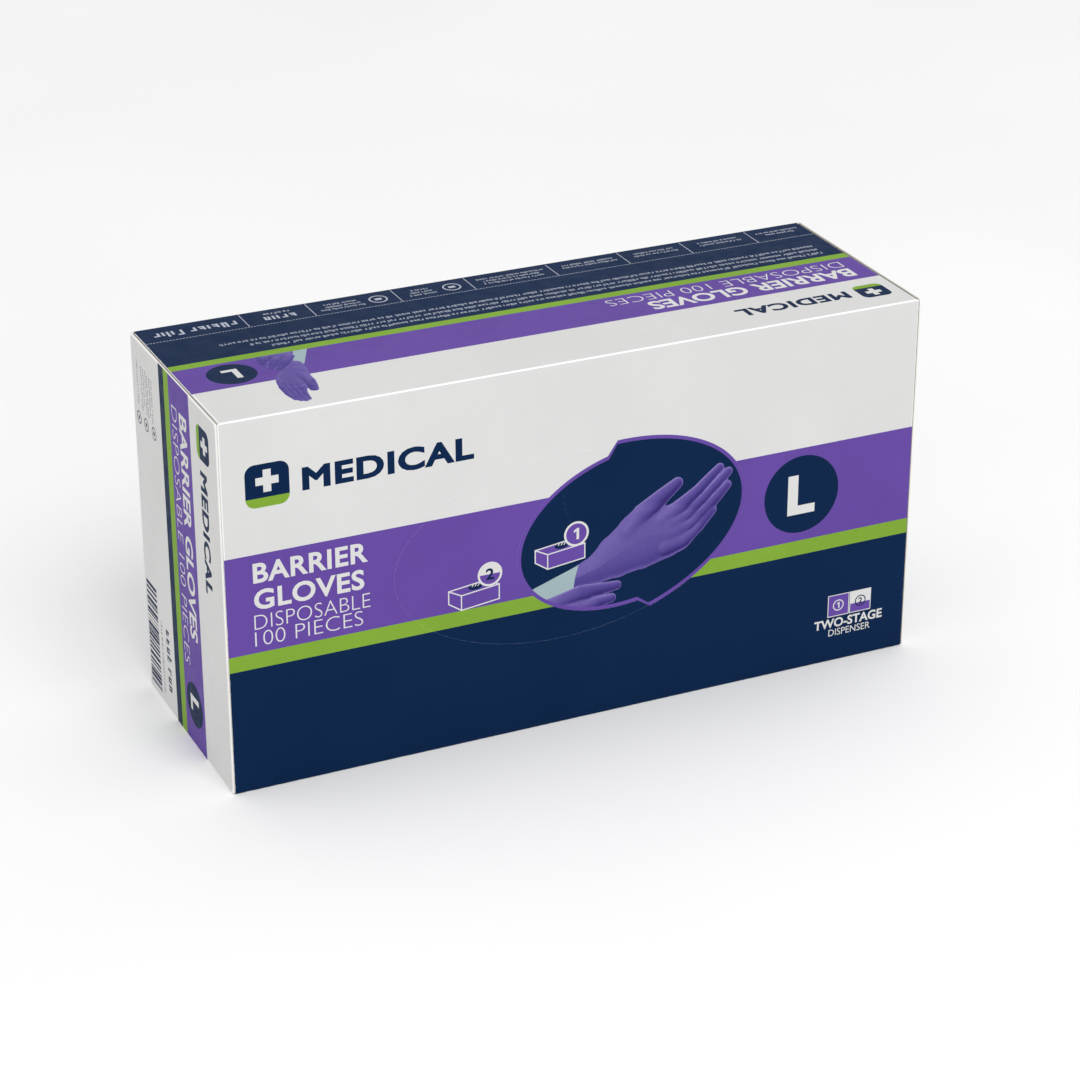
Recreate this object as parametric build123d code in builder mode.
"""A sealed folding-boxboard dispenser carton that holds 100 disposable exam gloves.

All lengths are in millimetres and all angles in degrees. +X runs along the front from left to
right, +Y from the front to the back, and +Z up. The origin is under the middle of the closed
carton, which stands on one of its two long narrow sides. The carton is cut from one blank: each
panel and flap between two creases is a piece of its own here, mitred where it meets the next one.
"""

import os

from build123d import *

# ---- Driving dimensions -------------------------------------------------------------------
length = 245.0  # outside, over both end flaps
depth = 82.0
height = 128.0
board = 0.5  # thickness of the boxboard
glue = 0.1  # thickness of a line of dried glue
kerf = 0.15  # width of the line that the perforating knife leaves

gloves_in_layer = 10
glove_layers = 10
glove_pitch = 0.735  # from one packed glove to the next
glove_thickness = 0.24  # two walls of film
stack_gap = 0.2  # between the seam flap and the rearmost glove

# ---- Places worked out from them ----------------------------------------------------------
front = -depth / 2
back = depth / 2
mid_height = height / 2
outer_flap_x = -length / 2  # outer faces of the left end's three thicknesses of board
inner_flap_x = outer_flap_x + board + glue
dust_flap_x = inner_flap_x + board + glue
seam_y = back - board - glue  # outer face of the seam flap, inside the back panel

seam_flap_width = 15.5
flap_clearance = 0.3  # a flap is cut this much short of the panels beside it
inner_flap_length = 39.0
inner_flap_taper = 9.0
dust_flap_length = 35.0
dust_back_taper = 16.0  # the dust flaps swing clear of the other two flaps
dust_front_taper = 19.0
corner_radius = 4.0
outer_corner_radius = 1.0

# The first tear-out is two half ovals that meet in a step at the top and at the bottom.
left_lobe = {"centre": (17.5, 66.8), "radii": (41.6, 27.6), "start": 95, "sweep": 170, "tilt": 11.8}
right_lobe = {"centre": (4.5, 64.5), "radii": (54.8, 32.5), "start": -75, "sweep": 151, "tilt": 10.5}
second_oval_centre = (-8.0, 63.5)
second_oval_radii = (58.0, 32.0)

# A glove lying flat, from its cuff, with its palm's middle line along +X.
glove_length = 239.0
cuff_width = 88.0
palm_width = 102.0
wrist_x = 60.0
thumb_root_x = 88.0
knuckle_x = 160.0
palm_slope = 30.0  # how far before the knuckles the palm reaches its full width
finger_root = 12.0  # how far behind the knuckles each finger starts
finger_width = 24.0
fingers = [(39.0, 205.0, 5.0), (13.5, 232.0, 1.5), (-12.5, 239.0, -1.5), (-38.0, 228.0, -4.5)]
thumb_width = 27.0
thumb_root_y = -38.0
thumb_reach = 58.0
thumb_angle = -15.0
thumb_side_shift = 5.5  # moves the palm off centre, to make room for the thumb


def save(piece, name):
    """Writes one finished piece under its own name."""
    piece.part.label = name
    export_step(piece.part, f"parts/{name}.step")


def save_both_ends(piece, name):
    """Writes a piece of the left end, and its mirror image for the right end."""
    save(piece, f"left_{name}")
    with BuildPart() as twin:
        mirror(piece.part, about=Plane.YZ)
    save(twin, f"right_{name}")


def lobe(centre, radii, start, sweep, tilt, grow):
    """One half oval of the first tear-out, its radii larger by grow."""
    return EllipticalCenterArc(
        centre, radii[0] + grow, radii[1] + grow, start, arc_size=sweep, rotation=tilt
    )


def first_oval(grow):
    """The first tear-out's outline as a face, its radii larger by grow."""
    with BuildSketch() as face:
        with BuildLine():
            right = lobe(**right_lobe, grow=grow)
            left = lobe(**left_lobe, grow=grow)
            Line(right @ 1, left @ 0)
            Line(left @ 1, right @ 0)
        make_face()
    return face.sketch


def second_oval(grow):
    """The second tear-out's oval as a face. The first tear-out covers its right-hand part."""
    with BuildSketch() as face:
        with Locations(second_oval_centre):
            Ellipse(second_oval_radii[0] + grow, second_oval_radii[1] + grow)
    return face.sketch


first_face = first_oval(0.0)
first_hole = first_oval(kerf)
second_face = second_oval(0.0)
second_hole = second_oval(kerf)

os.makedirs("parts", exist_ok=True)

# ---- The tube: four panels and the seam that closes it --------------------------------------
# Local x of this plane is +X, local y is +Z, and its normal points out of the front.
front_plane = Plane(origin=(0, front, 0), x_dir=(1, 0, 0), z_dir=(0, -1, 0))

with BuildPart() as front_panel:
    with BuildSketch(front_plane):
        with Locations((0, mid_height)):
            Rectangle(-2 * inner_flap_x, height)
    extrude(amount=-board, taper=45)
    with BuildSketch(front_plane):
        add(first_hole)
        add(second_hole)
    extrude(amount=-board, mode=Mode.SUBTRACT)
save(front_panel, "front_panel")

with BuildPart() as top_panel:
    with BuildSketch(Plane.XY.offset(height)):
        Rectangle(-2 * dust_flap_x, depth)
    extrude(amount=-board, taper=45)
save(top_panel, "top_panel")

with BuildPart() as back_panel:
    # The bottom edge is a cut edge, so it isn't mitred: the sketch runs below it and is cut off.
    with BuildSketch(Plane(origin=(0, back, 0), x_dir=(-1, 0, 0), z_dir=(0, 1, 0))):
        with Locations((0, mid_height - board / 2)):
            Rectangle(length, height + board)
    extrude(amount=-board, taper=45)
    split(bisect_by=Plane.XY, keep=Keep.TOP)
save(back_panel, "back_panel")

with BuildPart() as bottom_panel:
    with BuildSketch(Plane.XY):
        with Locations((0, (front + seam_y) / 2)):
            Rectangle(-2 * dust_flap_x, seam_y - front)
    extrude(amount=board, taper=45)
save(bottom_panel, "bottom_panel")

seam_end_gap = 2.5  # between the seam flap and the ends
seam_end_taper = 6.0
seam_glue_margin = 2.0
seam_glue_width = 9.0
seam_half_length = -dust_flap_x - seam_end_gap

with BuildPart() as seam_flap:
    with BuildSketch(Plane(origin=(0, seam_y, 0), x_dir=(-1, 0, 0), z_dir=(0, 1, 0))):
        with BuildLine():
            Polyline(
                (-seam_half_length, 0),
                (seam_half_length, 0),
                (seam_half_length - seam_end_taper, seam_flap_width),
                (seam_end_taper - seam_half_length, seam_flap_width),
                close=True,
            )
        make_face()
    extrude(amount=-board)
    # The fold to the bottom panel.
    split(bisect_by=Plane(origin=(0, seam_y, 0), z_dir=(0, 1, 1)), keep=Keep.TOP)
save(seam_flap, "seam_flap")

with BuildPart() as seam_glue:
    with Locations((0, seam_y + glue / 2, seam_flap_width / 2)):
        Box(2 * (seam_half_length - seam_end_taper - seam_glue_margin), glue, seam_glue_width)
save(seam_glue, "seam_glue")

# ---- The two tear-outs, level with the front panel ------------------------------------------
with BuildPart() as tear_panel_1:
    with BuildSketch(front_plane):
        add(first_face)
    extrude(amount=-board)
save(tear_panel_1, "tear_panel_1")

with BuildPart() as tear_panel_2:
    with BuildSketch(front_plane):
        add(second_face)
        add(first_hole, mode=Mode.SUBTRACT)
    extrude(amount=-board)
save(tear_panel_2, "tear_panel_2")

# ---- The left end's flaps, each mirrored to the right end ------------------------------------
# In these sketches local x is +Y and local y is +Z, and extruding goes into the carton.
with BuildPart() as outer_flap:
    with BuildSketch(Plane.YZ.offset(outer_flap_x)):
        with Locations((flap_clearance / 2, mid_height)):
            Rectangle(depth - flap_clearance, height - 2 * flap_clearance)
    extrude(amount=board)
    # The fold to the back panel.
    split(bisect_by=Plane(origin=(outer_flap_x, back, 0), z_dir=(-1, -1, 0)), keep=Keep.TOP)
    fillet(outer_flap.edges().filter_by(Axis.X).group_by(Axis.Y)[0], radius=outer_corner_radius)
save_both_ends(outer_flap, "outer_flap")

with BuildPart() as inner_flap:
    with BuildSketch(Plane.YZ.offset(inner_flap_x)):
        with BuildLine():
            Polyline(
                (front, board),
                (front + inner_flap_length, board + inner_flap_taper),
                (front + inner_flap_length, height - board - inner_flap_taper),
                (front, height - board),
                close=True,
            )
        make_face()
    extrude(amount=board)
    # The fold to the front panel.
    split(bisect_by=Plane(origin=(inner_flap_x, front, 0), z_dir=(-1, 1, 0)), keep=Keep.TOP)
    fillet(inner_flap.edges().filter_by(Axis.X).group_by(Axis.Y)[-1], radius=corner_radius)
save_both_ends(inner_flap, "inner_flap")


def dust_flap(hinge_z, into):
    """A dust flap folded from the top or the bottom panel; into is -1 from the top, +1 from below."""
    tip_z = hinge_z + into * dust_flap_length
    with BuildPart() as flap:
        with BuildSketch(Plane.YZ.offset(dust_flap_x)):
            with BuildLine():
                Polyline(
                    (front + board + flap_clearance, hinge_z),
                    (front + dust_front_taper, tip_z),
                    (seam_y - board - dust_back_taper, tip_z),
                    (seam_y - board - flap_clearance, hinge_z),
                    close=True,
                )
            make_face()
        extrude(amount=board)
        fold = Plane(origin=(dust_flap_x, 0, hinge_z), z_dir=(-1, 0, into))
        split(bisect_by=fold, keep=Keep.TOP)
        tip = flap.edges().filter_by(Axis.X).sort_by(lambda edge: abs(edge.center().Z - tip_z))[:2]
        fillet(tip, radius=corner_radius)
    return flap


save_both_ends(dust_flap(height, -1), "top_dust_flap")
save_both_ends(dust_flap(0.0, 1), "bottom_dust_flap")

# Hot-melt strips: three between the outer and the inner flap, two on each dust flap.
strip_width = 3.0
outer_strip_height = 26.0
outer_strip_pitch = 34.0
outer_strip_place = 20.0  # from the front
inner_strip_height = 14.0
inner_strip_places = (24.0, 33.0)
inner_strip_drop = 4.0  # below the middle of the dust flap

with BuildPart() as outer_glue:
    with Locations(
        *[
            (outer_flap_x + board + glue / 2, front + outer_strip_place, mid_height + k * outer_strip_pitch)
            for k in (-1, 0, 1)
        ]
    ):
        Box(glue, strip_width, outer_strip_height)
save_both_ends(outer_glue, "outer_flap_glue")

with BuildPart() as inner_glue:
    glue_x = inner_flap_x + board + glue / 2
    glue_z = inner_strip_drop + dust_flap_length / 2
    with Locations(
        *[(glue_x, front + y, z) for y in inner_strip_places for z in (glue_z, height - glue_z)]
    ):
        Box(glue, strip_width, inner_strip_height)
save_both_ends(inner_glue, "inner_flap_glue")

# ---- The gloves -----------------------------------------------------------------------------
# The sketch plane is upright, so a glove lies flat against the back panel. Its normal is -Y.
glove_plane = Plane(origin=(-glove_length / 2, 0, mid_height), x_dir=(1, 0, 0), z_dir=(0, -1, 0))

with BuildPart() as glove:
    with BuildSketch(glove_plane):
        with Locations((0, thumb_side_shift)):
            with BuildLine():
                Polyline(
                    (0, -cuff_width / 2),
                    (wrist_x, -cuff_width / 2),
                    (knuckle_x - palm_slope, -palm_width / 2),
                    (knuckle_x, -palm_width / 2),
                    (knuckle_x, palm_width / 2),
                    (knuckle_x - palm_slope, palm_width / 2),
                    (wrist_x, cuff_width / 2),
                    (0, cuff_width / 2),
                    close=True,
                )
            make_face()
            for side, tip_x, splay in fingers:
                bone = tip_x - knuckle_x + finger_root - finger_width / 2
                with Locations(Location((knuckle_x - finger_root, side, 0), (0, 0, splay))):
                    with Locations((bone / 2, 0)):
                        SlotCenterToCenter(bone, finger_width)
            with Locations(Location((thumb_root_x, thumb_root_y, 0), (0, 0, thumb_angle))):
                with Locations((thumb_reach / 2, 0)):
                    SlotCenterToCenter(thumb_reach, thumb_width)
    extrude(amount=glove_thickness)

stack_back = seam_y - board - glue - stack_gap

for layer in range(glove_layers):
    with BuildPart() as glove_layer:
        for k in range(gloves_in_layer):
            index = layer * gloves_in_layer + k
            # Every other glove is turned over, and every other layer has its cuffs to the right.
            turned_over = index % 2 == 1
            cuffs_right = layer % 2 == 1
            placed = glove.part
            if turned_over:
                placed = mirror(placed, about=Plane.XY.offset(mid_height), mode=Mode.PRIVATE)
            if cuffs_right:
                placed = mirror(placed, about=Plane.YZ, mode=Mode.PRIVATE)
            with Locations((0, stack_back - index * glove_pitch, 0)):
                add(placed)
    save(glove_layer, f"glove_layer_{layer + 1:02d}")
